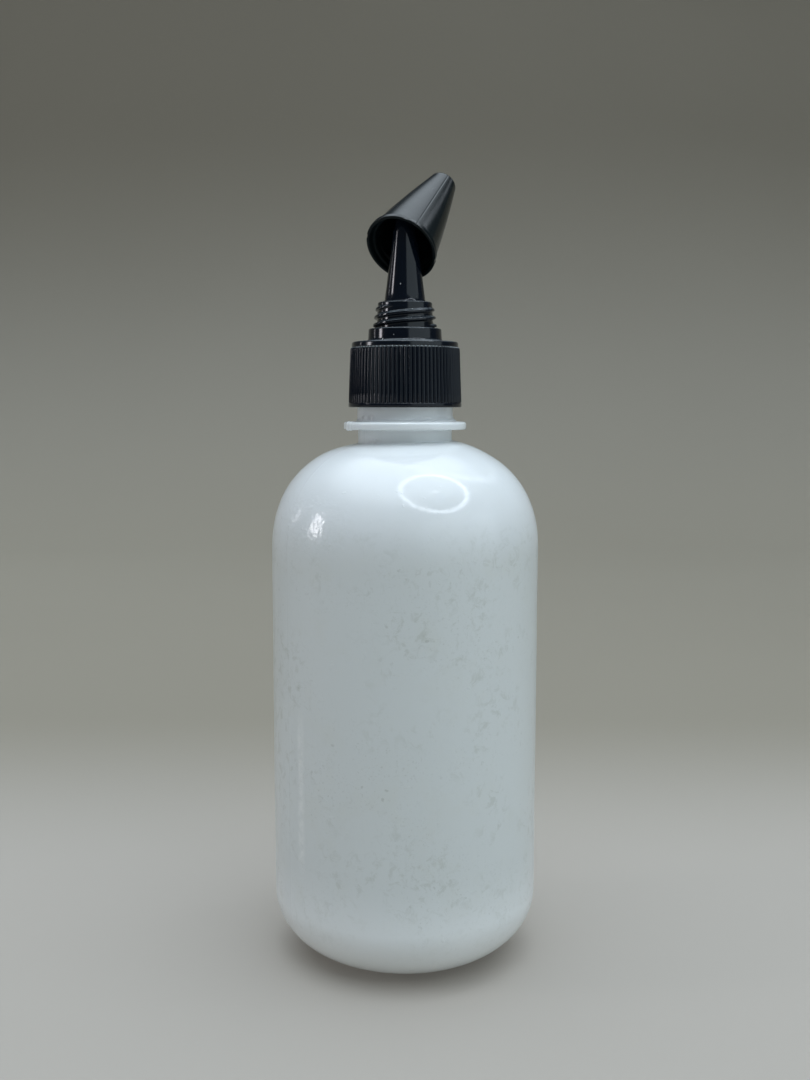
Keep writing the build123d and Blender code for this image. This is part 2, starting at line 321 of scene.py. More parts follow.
def neck_rows(z0):
    """From the neck's foot at z0, over the ring, bead and sealing land, into the bore."""
    rows = rounded([                     # radius, height, fillet
        (NECK_LOW_R, z0, 0), (NECK_LOW_R, z0 + 0.95, 0),
        (NECK_LOW_R, RING_Z0, 0.40), (RING_R, RING_Z0, 0.55),
        (RING_R, RING_Z1, 0.80), (14.25, RING_Z1 + 0.10, 0.8),
        (13.50, RING_Z1 + 0.50, 0.7), (BEAD_R, RING_TOP, 0.5),
        (BEAD_R, RING_TOP + 1.4, 0), (BEAD_R, BEAD_Z, 0.25),
        (ROOT_R, BEAD_Z + 0.55, 0.2), (ROOT_R, NECK_TOP, 0.35),
        (BORE_R, NECK_TOP, 0.3), (BORE_R, NECK_TOP - 2.0, 0)])
    low, high = BEAD_Z + 0.7, NECK_TOP - 0.5
    return split_runs(rows, 0.17,
                      lambda a, b: max(a[1], b[1]) > low and min(a[1], b[1]) < high)


def bottle_rows():
    rows = base_rows(0.0, 0.0, 30)
    z = CORNER_H
    while z < SHOULDER_Z - BODY_STEP:
        z += BODY_STEP
        rows.append((BODY_R, z))
    rows.append((BODY_R, SHOULDER_Z))
    rows += shoulder_rows(0.0, NECK_LOW_R + 0.5, 52)
    shoulder_end = rows[-1]
    rows += blend_rows(shoulder_end, NECK_LOW_R, NECK_RISE, (0.2, 0.4, 0.6, 0.8))
    rows += neck_rows(shoulder_end[1] + NECK_RISE)
    # back down the inside
    inside = shoulder_rows(WALL, BORE_R + 0.8, 26)
    rows.append((BORE_R, inside[-1][1] + BORE_RISE))
    rows += blend_rows(inside[-1], BORE_R, BORE_RISE, (0.75, 0.5, 0.25))
    rows += reversed(inside)
    rows += [(BODY_R - WALL, z) for z in (SHOULDER_Z, 80.0, 50.0)]
    rows += reversed(base_rows(WALL, BASE_WALL, 14))
    land = max(i for i, (r, z) in enumerate(rows)
               if abs(z - NECK_TOP) < 1e-6 and r > BORE_R + 0.5)
    return [(r, z, OUTSIDE if i <= land else 0.0) for i, (r, z) in enumerate(rows)]


def blown_wall(theta, z):
    """Low, slow waviness and shallow dips of the body."""
    body = rise(z, 8.0, 18.0) * fall(z, 136.0, 7.0)
    swell = sum(size * np.sin(waves * theta + slope * z + phase)
                for size, waves, slope, phase in WALL_WAVES)
    for depth, angle, spread, height, spread_z in WALL_DIPS:
        swell = swell - depth * np.exp(-(wrap(theta - math.radians(angle)) / spread) ** 2
                                       - ((z - height) / spread_z) ** 2)
    return body * swell


def bottle_shape(theta, r, z, tag):
    skin = tag == OUTSIDE
    # parting line: a fine seam of uneven height on both sides
    arc = from_line(theta - PART_LINE) * r
    seam_height = 0.045 + 0.030 * np.sin(0.31 * z) * np.sin(0.083 * z + 1.0)
    seam = np.exp(-(arc / 0.22) ** 2) * seam_height * rise(z, 2.0, 6.0) * fall(z, 155.4, 0.8)

    # the ring: ragged flash beside the parting line, a small nib opposite, a stronger seam
    ring = rise(z, 146.9, 0.3) * fall(z, 149.25, 0.3) * rise(r, 14.6, 1.6)
    side = wrap(theta - LUMP) * LUMP_ARC_R
    flash = np.exp(-((side - 0.2) / 1.9) ** 4) * (0.80 + 0.20 * np.cos(3.1 * side + 0.6))
    nib = np.exp(-(from_opposite(theta - LUMP) * LUMP_ARC_R / 0.9) ** 4)
    ring_out = ring * (0.24 * flash + 0.10 * nib + 0.05 * np.exp(-(arc / 0.5) ** 2))
    low = fall(z, 147.3, 1.2)
    ring_up = ring * flash * (0.16 * (1.0 - low) - 0.38 * low)

    # out of square: the ring's upper fillet and the shoulder's edge stand higher on the right
    fillet = rise(z, 149.22, 0.25) * fall(z, 151.0, 1.2) * fall(r, 14.3, 1.2)
    edge = rise(z, 133.0, 9.5) * fall(z, 144.6, 1.6) * fall(r, 15.0, 9.0)
    lean = np.cos(theta) * (0.32 * fillet + 0.36 * edge)

    on_neck = (skin & (np.abs(r - ROOT_R) < 0.06)
               & (z > BEAD_Z + 0.5) & (z < NECK_TOP - 0.3))
    thread = helix_height(theta, z, NECK_THREAD_Z, PITCH, NECK_TURNS, starts=1,
                          half_root=1.20, half_crest=0.60)

    # pinch-off scar along the parting plane, inside the standing ring
    along = r * np.cos(theta - PART_LINE)
    across = r * np.sin(theta - PART_LINE)
    scar = np.exp(-(across / 0.45) ** 2) * fall(np.abs(along), 11.0, 3.0)
    scar_depth = np.minimum(0.35, 0.6 * np.maximum(z - 0.15, 0.0)) * scar
    under = skin & (z < 4.0) & (r < 12.2)

    r_out = (r + blown_wall(theta, z) + np.where(skin, seam + ring_out, 0.0)
             + np.where(on_neck, (CREST_R - ROOT_R) * thread, 0.0))
    z_out = z + np.where(skin, ring_up + lean, 0.0) - np.where(under, scar_depth, 0.0)
    return r_out, z_out


# extra angles that draw the seam at both ends of the parting plane
parting_angles = [PART_LINE + half_turn + s for half_turn in (0.0, math.pi)
                  for s in mirrored((0.005, 0.010, 0.018, 0.030))]
bottle = lathe("bottle_shell", bottle_rows(), even(384, parting_angles), bottle_shape)
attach(bottle, "bottle")
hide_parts("bottle")

# ================================================================ sealing wad
WAD_HOLE_R = 8.0


def wad_shape(theta, r, z, tag):
    """The hole's edge is slightly wavy."""
    return r + 0.03 * np.sin(9 * theta) * (r < WAD_HOLE_R + 1.0), z


wad_rows = rounded([(WAD_HOLE_R, WAD_Z0, 0.12), (WAD_R, WAD_Z0, 0.15),
                    (WAD_R, WAD_Z1, 0.15), (WAD_HOLE_R, WAD_Z1, 0.12)], closed=True)
wad = lathe("sealing_wad", wad_rows, even(160), wad_shape, closed=True)
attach(wad, "liner")
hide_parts("closure_liner")

# ================================================================ closure with nozzle
CAP_BEAD_Z, CAP_RIB_TOP, CAP_TOP = 154.25, 169.3, 170.8
CAP_RIM_R, CAP_WALL_R, CAP_CREST_R, CAP_PLATE_Z = 14.58, 13.90, 12.85, 169.2
SKIRT_R, SKIRT_TAPER = 15.50, 0.5122
RIBS, RIB_DEPTH = 82, 0.34
RIB_STEP = TAU / RIBS
# angles within one rib, as fractions of its pitch from the crest
RIB_FRACTIONS = (-0.5, -0.34, -0.25, -0.17, -0.08, 0.0, 0.08, 0.17, 0.25, 0.34)
CAP_THREAD_Z, CAP_TURNS = NECK_THREAD_Z - 1.56, 1.25
COLLAR_Z, POST_R, POST_R_TOP, POST_TOP = 174.4, 7.75, 7.40, 181.5
POST_THREAD_Z = COLLAR_Z + 0.45
POST_CREST_R, POST_CREST_SLOPE = 8.80, 0.155
POST_LEAD = 4.26                     # lead of the two-start thread that holds the overcap
NOZ_Z0, NOZ_R0, NOZ_R1 = 182.2, 5.52, 2.58
NOZ_SEAM = 0.35                      # angle of the nozzle's seam

# tags: 1..2 is a ribbed row, 1 plus the share of the full rib depth
PLAIN, FULL_RIB, POST_THREAD, BORE_THREAD = 0.0, 2.0, 12.0, 13.0


def skirt_rows():
    low, high = CAP_BEAD_Z + 0.30, CAP_RIB_TOP - 0.22
    rows = [(15.30, CAP_BEAD_Z + 0.10, 1.25), (15.42, CAP_BEAD_Z + 0.16, 1.55),
            (SKIRT_R, low, FULL_RIB)]
    for i in range(1, 6):
        t = i / 6
        rows.append((SKIRT_R - SKIRT_TAPER * t, low + (high - low) * t, FULL_RIB))
    # radius, depth below the ribs' top, tag
    return rows + [(r, CAP_RIB_TOP - down, tag) for r, down, tag in (
        (15.00, 0.70, 2.0), (14.985, 0.52, 2.0), (14.95, 0.36, 1.99), (14.89, 0.21, 1.96),
        (14.81, 0.10, 1.86), (14.72, 0.03, 1.62), (14.64, 0.0, 1.25))]


def top_rows():
    """Rim, deck, collar and threaded post, up to the nozzle's foot."""
    rows = rounded([
        (CAP_RIM_R + 0.03, CAP_RIB_TOP + 0.02, 0), (CAP_RIM_R, CAP_RIB_TOP + 0.3, 0),
        (CAP_RIM_R - 0.02, CAP_TOP, 0.55), (12.2, CAP_TOP + 0.02, 0), (10.12, CAP_TOP, 0.95),
        (9.95, COLLAR_Z, 0.42), (POST_R, COLLAR_Z + 0.02, 0.30),
        (POST_R_TOP + 0.03, POST_TOP - 0.75, 0), (POST_R_TOP, POST_TOP, 0.45),
        (5.75, POST_TOP + 0.06, 0.10), (NOZ_R0, NOZ_Z0, 0.08)])
    rows = [(r, z, POST_THREAD if COLLAR_Z + 0.25 < z < POST_TOP - 0.70 and r < 8.2 else PLAIN)
            for r, z in rows]
    return split_runs(rows, 0.105, lambda a, b: a[2] == b[2] == POST_THREAD)


def nozzle_row(t):
    return NOZ_R0 + (NOZ_R1 - NOZ_R0) * t, NOZ_Z0 + (NOZZLE_TOP - NOZ_Z0) * t


def inner_rows():
    """From the nozzle's tip down the passage to the threaded inside of the skirt."""
    rows = rounded([
        (*nozzle_row(0.97), 0), (NOZ_R1, NOZZLE_TOP, 0.35), (1.0, NOZZLE_TOP, 0.18),
        (1.0, NOZZLE_TOP - 3.4, 0.1), (1.45, NOZZLE_TOP - 4.0, 0.2), (4.35, POST_TOP, 0.3),
        (5.6, CAP_PLATE_Z + 0.6, 0.3), (6.0, CAP_PLATE_Z, 0.2),
        (CAP_WALL_R, CAP_PLATE_Z, 0.35), (CAP_WALL_R, CAP_Z0 + 0.7, 0)])
    rows = [(r, z, BORE_THREAD if abs(r - CAP_WALL_R) < 1e-6 else PLAIN) for r, z in rows]
    return split_runs(rows, 0.19, lambda a, b: a[2] == b[2] == BORE_THREAD)


def closure_rows():
    foot = rounded([
        (CAP_WALL_R + 0.35, CAP_Z0 + 0.2, 0), (CAP_WALL_R + 0.40, CAP_Z0, 0.12),
        (CAP_R - 0.02, CAP_Z0, 0.28), (CAP_R, CAP_BEAD_Z - 0.05, 0.22),
        (15.34, CAP_BEAD_Z + 0.08, 0)])
    nozzle = [nozzle_row(i / 12) for i in range(1, 12)]
    return foot + skirt_rows() + top_rows() + nozzle + inner_rows()


def closure_shape(theta, r, z, tag):
    # every rib stands a little differently
    from_crest = np.mod(theta / RIB_STEP, 1.0) - 0.5
    ridge = fall(np.abs(from_crest), 0.015, 0.33)
    rib = np.floor(theta / RIB_STEP)
    vary = 1.0 + 0.012 * np.sin(rib * 2.399) + 0.010 * np.sin(rib * 5.17)
    depth = RIB_DEPTH * np.where((tag >= 1.0) & (tag <= FULL_RIB), tag - 1.0, 0.0)
    r_out = r - depth * (1.0 - ridge * vary)

    post = helix_height(theta, z, POST_THREAD_Z, POST_LEAD, turns=1.30, starts=2,
                        half_root=0.76, half_crest=0.20, fade=40.0, offset=142.0)
    post = post * fall(z, POST_TOP - 1.45, 0.65)
    crest = POST_CREST_R - POST_CREST_SLOPE * (z - POST_THREAD_Z)
    r_out = np.where(tag == POST_THREAD, r_out + (crest - r) * post, r_out)
    bore = helix_height(theta, z, CAP_THREAD_Z, PITCH, CAP_TURNS, starts=1,
                        half_root=0.95, half_crest=0.45)
    r_out = np.where(tag == BORE_THREAD, r_out - (CAP_WALL_R - CAP_CREST_R) * bore, r_out)

    # the deck's outer edge is not quite flat
    deck_edge = (z > 170.5) & (z < 171.2) & (r > 11.0)
    z_out = z + np.where(deck_edge, 0.02 * np.sin(2 * theta + 0.4), 0.0)

    # faint seam on the outside of the nozzle
    arc = from_line(theta - NOZ_SEAM) * r
    on_nozzle = ((tag == PLAIN) & (z > NOZ_Z0 + 0.5) & (z < NOZZLE_TOP - 0.5)
                 & (r > 2.4) & (r_out > 1.6 + (NOZZLE_TOP - z) * 0.125))
    r_out = r_out + np.where(on_nozzle, 0.018 * np.exp(-(arc / 0.10) ** 2), 0.0)
    return r_out, z_out


rib_angles = sorted(((i + f + 0.5) * RIB_STEP) % TAU for i in range(RIBS) for f in RIB_FRACTIONS)
closure = lathe("nozzle_closure_moulding", closure_rows(), rib_angles, closure_shape, closed=True)
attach(closure, "closure")
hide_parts("nozzle_closure")

# ================================================================ overcap
# heights run along its own axis from the open rim
OUT_R0, OUT_R1, OUT_BOW = 9.86, 3.88, 0.31    # outside: rim end, tip end, bulge between
MOUTH_R, END_R = 9.20, 3.15                   # inside: mouth, closed end
HOLLOW_DEPTH, HOLLOW_FILLET = 31.4, 0.8
HOLLOW_SIDE = HOLLOW_DEPTH - HOLLOW_FILLET    # where the hollow's straight side ends
RIM_H, TIP_FILLET = 1.35, 1.1
SIDE_START = 2.4                              # where the plain side begins above the rim
OVERCAP_SEAM = math.radians(316.0)
MOUTH_THREAD, RIM, SIDE = 5.0, 6.0, 7.0       # tags


def outside_r(s):
    return (OUT_R0 + (OUT_R1 - OUT_R0) * s / OVERCAP_LENGTH
            + OUT_BOW * math.sin(math.pi * s / OVERCAP_LENGTH))


def inside_r(s):
    return END_R + (MOUTH_R - END_R) * (1 - s / HOLLOW_SIDE)


def overcap_rows():
    # the hollow, from its closed end to the threaded mouth
    rows = [(0.0, HOLLOW_DEPTH), (1.2, HOLLOW_DEPTH)]
    for i in range(1, 5):
        a = math.pi / 2 * (1 - i / 4)
        rows.append((END_R - HOLLOW_FILLET + HOLLOW_FILLET * math.cos(a),
                     HOLLOW_SIDE + HOLLOW_FILLET * math.sin(a)))
    heights = [HOLLOW_SIDE * (1 - i / 16) for i in range(1, 16)]
    rows += [(inside_r(s), s) for s in heights if s > 6.2]
    rows += [(inside_r(s), s, MOUTH_THREAD) for s in (6.0 - 0.13 * k for k in range(43))]

    rim = rounded([
        (MOUTH_R, 0.35, 0), (MOUTH_R + 0.17, 0.0, 0.12), (OVERCAP_RIM_R, 0.0, 0.22),
        (OVERCAP_RIM_R, RIM_H - 0.05, 0.22), (outside_r(RIM_H) - 0.01, RIM_H + 0.10, 0.12),
        (outside_r(SIDE_START), SIDE_START, 0)])
    rows += [(r, z, RIM if r > 9.7 and z < RIM_H + 0.1 else PLAIN) for r, z in rim]

    tip_start = OVERCAP_LENGTH - TIP_FILLET
    for i in range(1, 19):
        s = SIDE_START + (tip_start - SIDE_START) * i / 18
        rows.append((outside_r(s), s, SIDE))
    side_end_r = rows[-1][0]
    for i in range(1, 7):
        t = math.pi / 2 * i / 6
        rows.append((side_end_r - TIP_FILLET * (1 - math.cos(t)),
                     tip_start + TIP_FILLET * math.sin(t)))
    return rows + [(side_end_r - TIP_FILLET - 0.6, OVERCAP_LENGTH - 0.01),
                   (0.0, OVERCAP_LENGTH - 0.03)]


def overcap_shape(theta, r, z, tag):
    thread = helix_height(theta, z, 1.15, POST_LEAD, turns=0.70, starts=2,
                          half_root=0.62, half_crest=0.16, fade=40.0, offset=110.0)
    r_out = np.where(tag == MOUTH_THREAD, r - 0.57 * thread, r)
    # a groove and a very fine step where the mould halves met
    from_seam = wrap(theta - OVERCAP_SEAM)
    groove = 0.085 * np.exp(-(from_seam * r / 0.13) ** 2)
    step = 0.030 * rise(from_seam * r, -0.1, 0.2) * fall(np.abs(from_seam), 0.3, 0.3)
    r_out = r_out + np.where(tag >= RIM, step - groove, 0.0)
    # four shallow flats on the rim bead
    flat = fall(np.abs(wrap(4 * (theta - OVERCAP_SEAM + 0.32))), 0.22, 0.08)
    return r_out - np.where(tag == RIM, 0.17 * flat, 0.0), z


seam_angles = [OVERCAP_SEAM + s for s in mirrored((0.0045, 0.009, 0.014, 0.020, 0.027, 0.036))]
overcap = lathe("overcap_shell", overcap_rows(), even(288, seam_angles), overcap_shape,
                matrix=OVERCAP_POSE)
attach(overcap, "overcap")
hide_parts("overcap")


# ---------------------------------------------------------------- node graphs
class Graph:
    """An emptied node tree with short ways to add nodes. Values may be numbers or sockets."""

    def __init__(self, owner):
        owner.use_nodes = True
        self.tree = owner.node_tree
        self.tree.nodes.clear()

    def put(self, socket, value):
        if isinstance(value, bpy.types.NodeSocket):
            self.tree.links.new(value, socket)
        else:
            socket.default_value = value

    def new(self, kind, inputs=None, **settings):
        node = self.tree.nodes.new(kind)
        for name, value in settings.items():
            setattr(node, name, value)
        for key, value in (inputs or {}).items():
            self.put(node.inputs[key], value)
        return node

    def math(self, operation, a, b=0.5):
        return self.new("ShaderNodeMath", {0: a, 1: b}, operation=operation).outputs[0]

    def add(self, a, b):
        return self.math("ADD", a, b)

    def mul(self, first, *factors):
        for factor in factors:
            first = self.math("MULTIPLY", first, factor)
        return first

    def ramp(self, value, span, to=(0.0, 1.0), smooth=True):
        """Maps span onto to, clamped."""
        inputs = {"From Min": span[0], "From Max": span[1],
                  "To Min": to[0], "To Max": to[1], "Value": value}
        kind = "SMOOTHSTEP" if smooth else "LINEAR"
        return self.new("ShaderNodeMapRange", inputs, interpolation_type=kind).outputs["Result"]

    def separate(self, vector):
        return tuple(self.new("ShaderNodeSeparateXYZ", {0: vector}).outputs)

    def dot(self, a, b):
        node = self.new("ShaderNodeVectorMath", {0: a, 1: b}, operation="DOT_PRODUCT")
        return node.outputs["Value"]

    def mix_shader(self, factor, a, b):
        return self.new("ShaderNodeMixShader", {0: factor, 1: a, 2: b}).outputs[0]


class Material(Graph):
    """A Principled material; its textures are placed by object coordinates."""

    def __init__(self, name):
        self.mat = bpy.data.materials.new(name)
        super().__init__(self.mat)
        self.bsdf = self.new("ShaderNodeBsdfPrincipled")
        self.out = self.new("ShaderNodeOutputMaterial", {0: self.bsdf.outputs[0]})
        self.coords = self.new("ShaderNodeTexCoord").outputs["Object"]
        self.normal = None

    @cached_property
    def geometry(self):
        return self.new("ShaderNodeNewGeometry").outputs

    def set(self, name, value):
        self.put(self.bsdf.inputs[name], value)

    def scaled(self, scale, offset=(0, 0, 0)):
        inputs = {"Scale": scale, "Location": offset, "Vector": self.coords}
        return self.new("ShaderNodeMapping", inputs).outputs[0]

    def noise(self, scale, detail=2.0, rough=0.5, vector=None, distortion=0.0):
        inputs = {"Scale": scale, "Detail": detail, "Roughness": rough,
                  "Distortion": distortion, "Vector": vector or self.coords}
        return self.new("ShaderNodeTexNoise", inputs).outputs["Fac"]

    def layer(self, under, over, mask, strength=None):
        """Lays one colour over another where the mask is up."""
        if strength is not None:
            mask = self.mul(mask, strength)
        return self.new("ShaderNodeMix", {0: mask, 6: under, 7: over},
                        data_type="RGBA", blend_type="MIX").outputs[2]

    def bump(self, height, strength, distance):
        """Adds a bump on top of those before it."""
        inputs = {"Strength": strength, "Distance": distance, "Height": height}
        if self.normal is not None:
            inputs["Normal"] = self.normal
        self.normal = self.new("ShaderNodeBump", inputs).outputs[0]
        self.set("Normal", self.normal)


ROUGHNESS_CAP = 0.262


# ---------------------------------------------------------------- white HDPE
# small swellings above the ring and at the neck's foot, front left: x, z, radius in metres
SWELLINGS = ((-0.0090, 0.1504, 0.0012), (-0.0110, 0.1504, 0.0008),
             (-0.0089, 0.1443, 0.0012), (-0.0078, 0.1441, 0.0008))


def hdpe_specks(m, colour, body):
    """Clustered dirt, most of it on the body; also returns the mask of the finest specks."""
    cluster = m.ramp(m.noise(scale=34.0, detail=3.0, rough=0.6), span=(0.44, 0.64))
    keep = m.add(m.mul(body, 0.85), 0.08)
    fine = m.noise(scale=1250.0, detail=3.0, rough=0.65)
    specks = m.mul(m.ramp(fine, span=(0.575, 0.680)), cluster, keep)
    colour = m.layer(colour, (0.330, 0.345, 0.300, 1), specks, strength=0.20)
    stain = m.noise(scale=330.0, detail=4.0, rough=0.72, distortion=0.6)
    stain_area = m.ramp(m.noise(scale=46.0, detail=3.0, rough=0.6), span=(0.40, 0.60))
    stain = m.mul(m.ramp(stain, span=(0.500, 0.660)), stain_area, keep)
    colour = m.layer(colour, (0.420, 0.445, 0.395, 1), stain, strength=0.34)
    grains = m.mul(m.ramp(m.noise(scale=430.0), span=(0.690, 0.745)), cluster, keep)
    colour = m.layer(colour, (0.270, 0.285, 0.245, 1), grains, strength=0.30)
    smudge = m.mul(m.ramp(m.noise(scale=190.0), span=(0.62, 0.78)),
                   m.ramp(m.noise(scale=52.0), span=(0.50, 0.62)))
    smudge = m.mul(smudge, m.add(m.mul(body, 0.9), 0.10))
    return m.layer(colour, (0.40, 0.42, 0.375, 1), smudge, strength=0.26), specks


def hdpe_streak(m, x, y, z):
    """A wandering, broken upright rub down the left front."""
    wander = m.noise(scale=1.0, detail=3.0, rough=0.6, vector=m.scaled((30.0, 30.0, 90.0)))
    wander = m.mul(m.math("SUBTRACT", wander, 0.5), 0.0024)
    off = m.math("ABSOLUTE", m.add(m.add(x, 0.0274), wander))
    broken = m.noise(scale=520.0, detail=3.0, rough=0.6)
    return m.mul(m.ramp(off, span=(0.0002, 0.0013), to=(1.0, 0.0)),
                 m.ramp(z, span=(0.026, 0.036)),
                 m.ramp(z, span=(0.066, 0.076), to=(1.0, 0.0)),
                 m.ramp(y, span=(-0.010, -0.016)),
                 m.ramp(broken, span=(0.35, 0.65), to=(0.25, 1.0)))


def distance_xz(m, x, z, x0, z0):
    """Distance from the line x = x0, z = z0."""
    dx = m.add(x, -x0)
    dz = m.math("SUBTRACT", z, z0)
    return m.math("SQRT", m.add(m.mul(dx, dx), m.mul(dz, dz)))


def hdpe_bumps(m, x, y, z, body):
    # mould skin, slow ripples of the blown wall, small dents on the body
    m.bump(m.noise(scale=1500.0, detail=3.0, rough=0.6), distance=0.00003,
           strength=m.ramp(body, span=(0.0, 1.0), to=(0.02, 0.20), smooth=False))
    m.bump(m.noise(scale=60.0, rough=0.4), strength=0.07, distance=0.0006)
    m.bump(m.noise(scale=620.0), distance=0.00006,
           strength=m.ramp(body, span=(0.0, 0.6), to=(0.0, 0.20), smooth=False))
    # a dimpled patch on the front left of the shoulder
    away = distance_xz(m, x, z, x0=-0.0232, z0=0.1225)
    patch = m.mul(m.ramp(away, span=(0.0060, 0.0120), to=(0.75, 0.0)),
                  m.ramp(y, span=(-0.006, -0.012)))
    m.bump(m.noise(scale=900.0, detail=1.5), strength=patch, distance=0.00010)
    for x0, z0, radius in SWELLINGS:
        away = distance_xz(m, x, z, x0, z0)
        dome = m.mul(m.ramp(away, span=(0.0, radius), to=(1.0, 0.0)),
                     m.ramp(y, span=(-0.001, -0.003)))
        m.bump(dome, strength=1.0, distance=0.00030)
    # stray chips, then upright hairlines
    chips = m.mul(m.ramp(m.noise(scale=520.0), span=(0.665, 0.735)),
                  m.ramp(m.noise(scale=60.0), span=(0.42, 0.56)))
    m.bump(chips, strength=0.35, distance=0.00009)
    hair = m.scaled((2600.0, 2600.0, 120.0), offset=(3.1, 1.7, 0.4))
    m.bump(m.ramp(m.noise(scale=1.0, vector=hair), span=(0.62, 0.72)),
           strength=0.06, distance=0.00003)


def hdpe_material():
    m = Material("white_hdpe")
    z = m.separate(m.coords)[2]
    x, y, _ = m.separate(m.coords)
    # body is 1 where the bottle is handled and dull, 0 on the glossier shoulder and neck
    border = m.math("SUBTRACT", m.noise(scale=26.0, detail=3.0), 0.5)
    body = m.ramp(m.add(z, m.mul(border, 0.012)), span=(0.110, 0.128), to=(1.0, 0.0))
    blotch = m.noise(scale=75.0, detail=4.0, rough=0.6)

    # cool white with slow variation, a greyer handled body
    slow = m.noise(scale=24.0, detail=3.0, rough=0.55)
    colour = m.layer((0.800, 0.836, 0.850, 1), (0.778, 0.812, 0.822, 1),
                     m.ramp(slow, span=(0.35, 0.70)))
    # the handled grey fades out towards the foot, which paints light on the base
    handled_grey_and_painted_foot_light = m.mul(body, m.ramp(z, span=(0.004, 0.034), to=(0.15, 1.0)))
    colour = m.layer(colour, (0.648, 0.686, 0.678, 1), handled_grey_and_painted_foot_light, strength=0.85)
    grub = m.mul(m.ramp(blotch, span=(0.48, 0.78)), m.add(m.mul(body, 0.34), 0.06))
    colour = m.layer(colour, (0.640, 0.665, 0.625, 1), grub)
    colour, specks = hdpe_specks(m, colour, body)
    # fine upright rub marks and one whitish streak
    upright = m.scaled((1100.0, 1100.0, 70.0))
    rub = m.noise(scale=1.0, detail=4.0, rough=0.6, vector=upright)
    rub = m.mul(m.ramp(rub, span=(0.60, 0.74)), body)
    colour = m.layer(colour, (0.56, 0.60, 0.60, 1), rub, strength=0.10)
    colour = m.layer(colour, (0.900, 0.915, 0.900, 1), hdpe_streak(m, x, y, z), strength=0.40)
    # a paler foot: painted light standing in for the light the floor throws on the base; darker in
    # blotches at its lowest edge
    lowest_edge_dark = m.ramp(z, span=(0.001, 0.009), to=(1.0, 0.0))
    foot = m.ramp(z, span=(0.006, 0.032), to=(1.0, 0.0))
    colour = m.layer(colour, (0.870, 0.900, 0.890, 1), foot, strength=0.80)
    lowest_edge_dark = m.mul(lowest_edge_dark, 0.20, m.ramp(blotch, span=(0.40, 0.62)))
    m.set("Base Color", m.layer(colour, (0.50, 0.49, 0.45, 1), lowest_edge_dark))

    roughness = m.ramp(body, span=(0.0, 1.0), to=(0.100, 0.235), smooth=False)
    uneven = m.mul(m.math("SUBTRACT", blotch, 0.5), 0.12, m.add(body, 0.15))
    for extra in (uneven, m.mul(rub, 0.04), m.mul(specks, 0.05)):
        roughness = m.add(roughness, extra)
    m.set("Roughness", m.math("MINIMUM", roughness, ROUGHNESS_CAP))

    hdpe_bumps(m, x, y, z, body)
    m.set("Subsurface Weight", 0.22)
    m.set("Subsurface Radius", (1.0, 0.97, 0.90))
    m.set("Subsurface Scale", 0.0018)
    m.set("IOR", 1.53)
    return m.mat


# ---------------------------------------------------------------- black plastic
class BlackPlastic(Material):
    def __init__(self, name, dark, light):
        super().__init__(name)
        slow = self.noise(scale=90.0, detail=3.0)
        colour = self.layer(dark, light, self.ramp(slow, span=(0.3, 0.7)))
        # film and dust gather on faces that look up
        self.normal_z = self.separate(self.geometry["Normal"])[2]
        self.face_up = self.ramp(self.normal_z, span=(0.10, 0.95), to=(0.35, 1.0))
        film = self.ramp(self.noise(scale=320.0, detail=4.0, rough=0.7), span=(0.50, 0.80))
        film = self.mul(film, self.mul(self.face_up, 0.016))
        colour = self.layer(colour, (0.20, 0.215, 0.225, 1), film)
        broken = self.ramp(self.noise(scale=600.0, detail=3.0, rough=0.6), span=(0.42, 0.66))
        edges = self.ramp(self.geometry["Pointiness"], span=(0.53, 0.60))
        self.worn = self.mul(edges, broken, 0.30)
        self.colour = self.layer(colour, (0.040, 0.044, 0.050, 1), self.worn)

    def finish(self, gloss, dust):
        """gloss is the mean roughness; returns the capped roughness, not yet linked."""
        cluster = self.ramp(self.noise(scale=140.0, detail=3.0, rough=0.6), span=(0.50, 0.66))
        dots = self.ramp(self.noise(scale=2300.0, rough=0.6), span=(0.705, 0.745))
        dusty = self.mul(dots, cluster, self.mul(self.face_up, dust))
        colour = self.layer(self.colour, (0.42, 0.43, 0.43, 1), dusty)
        # a few larger pale grains
        grain = self.ramp(self.noise(scale=760.0, detail=1.0, rough=0.4), span=(0.800, 0.825))
        colour = self.layer(colour, (0.50, 0.51, 0.50, 1), grain, strength=0.8)
        self.set("Base Color", colour)

        self.bump(self.noise(scale=1100.0), strength=0.05, distance=0.00003)
        self.bump(self.noise(scale=210.0), strength=0.08, distance=0.00010)
        self.set("IOR", 1.50)

        roughness = self.ramp(self.noise(scale=260.0, detail=3.0, rough=0.6),
                              span=(0.25, 0.75), to=(gloss - 0.025, gloss + 0.035))
        roughness = self.add(roughness, self.mul(self.worn, 0.12))
        roughness = self.add(roughness, self.mul(dusty, 0.10))
        return self.math("MINIMUM", roughness, ROUGHNESS_CAP)


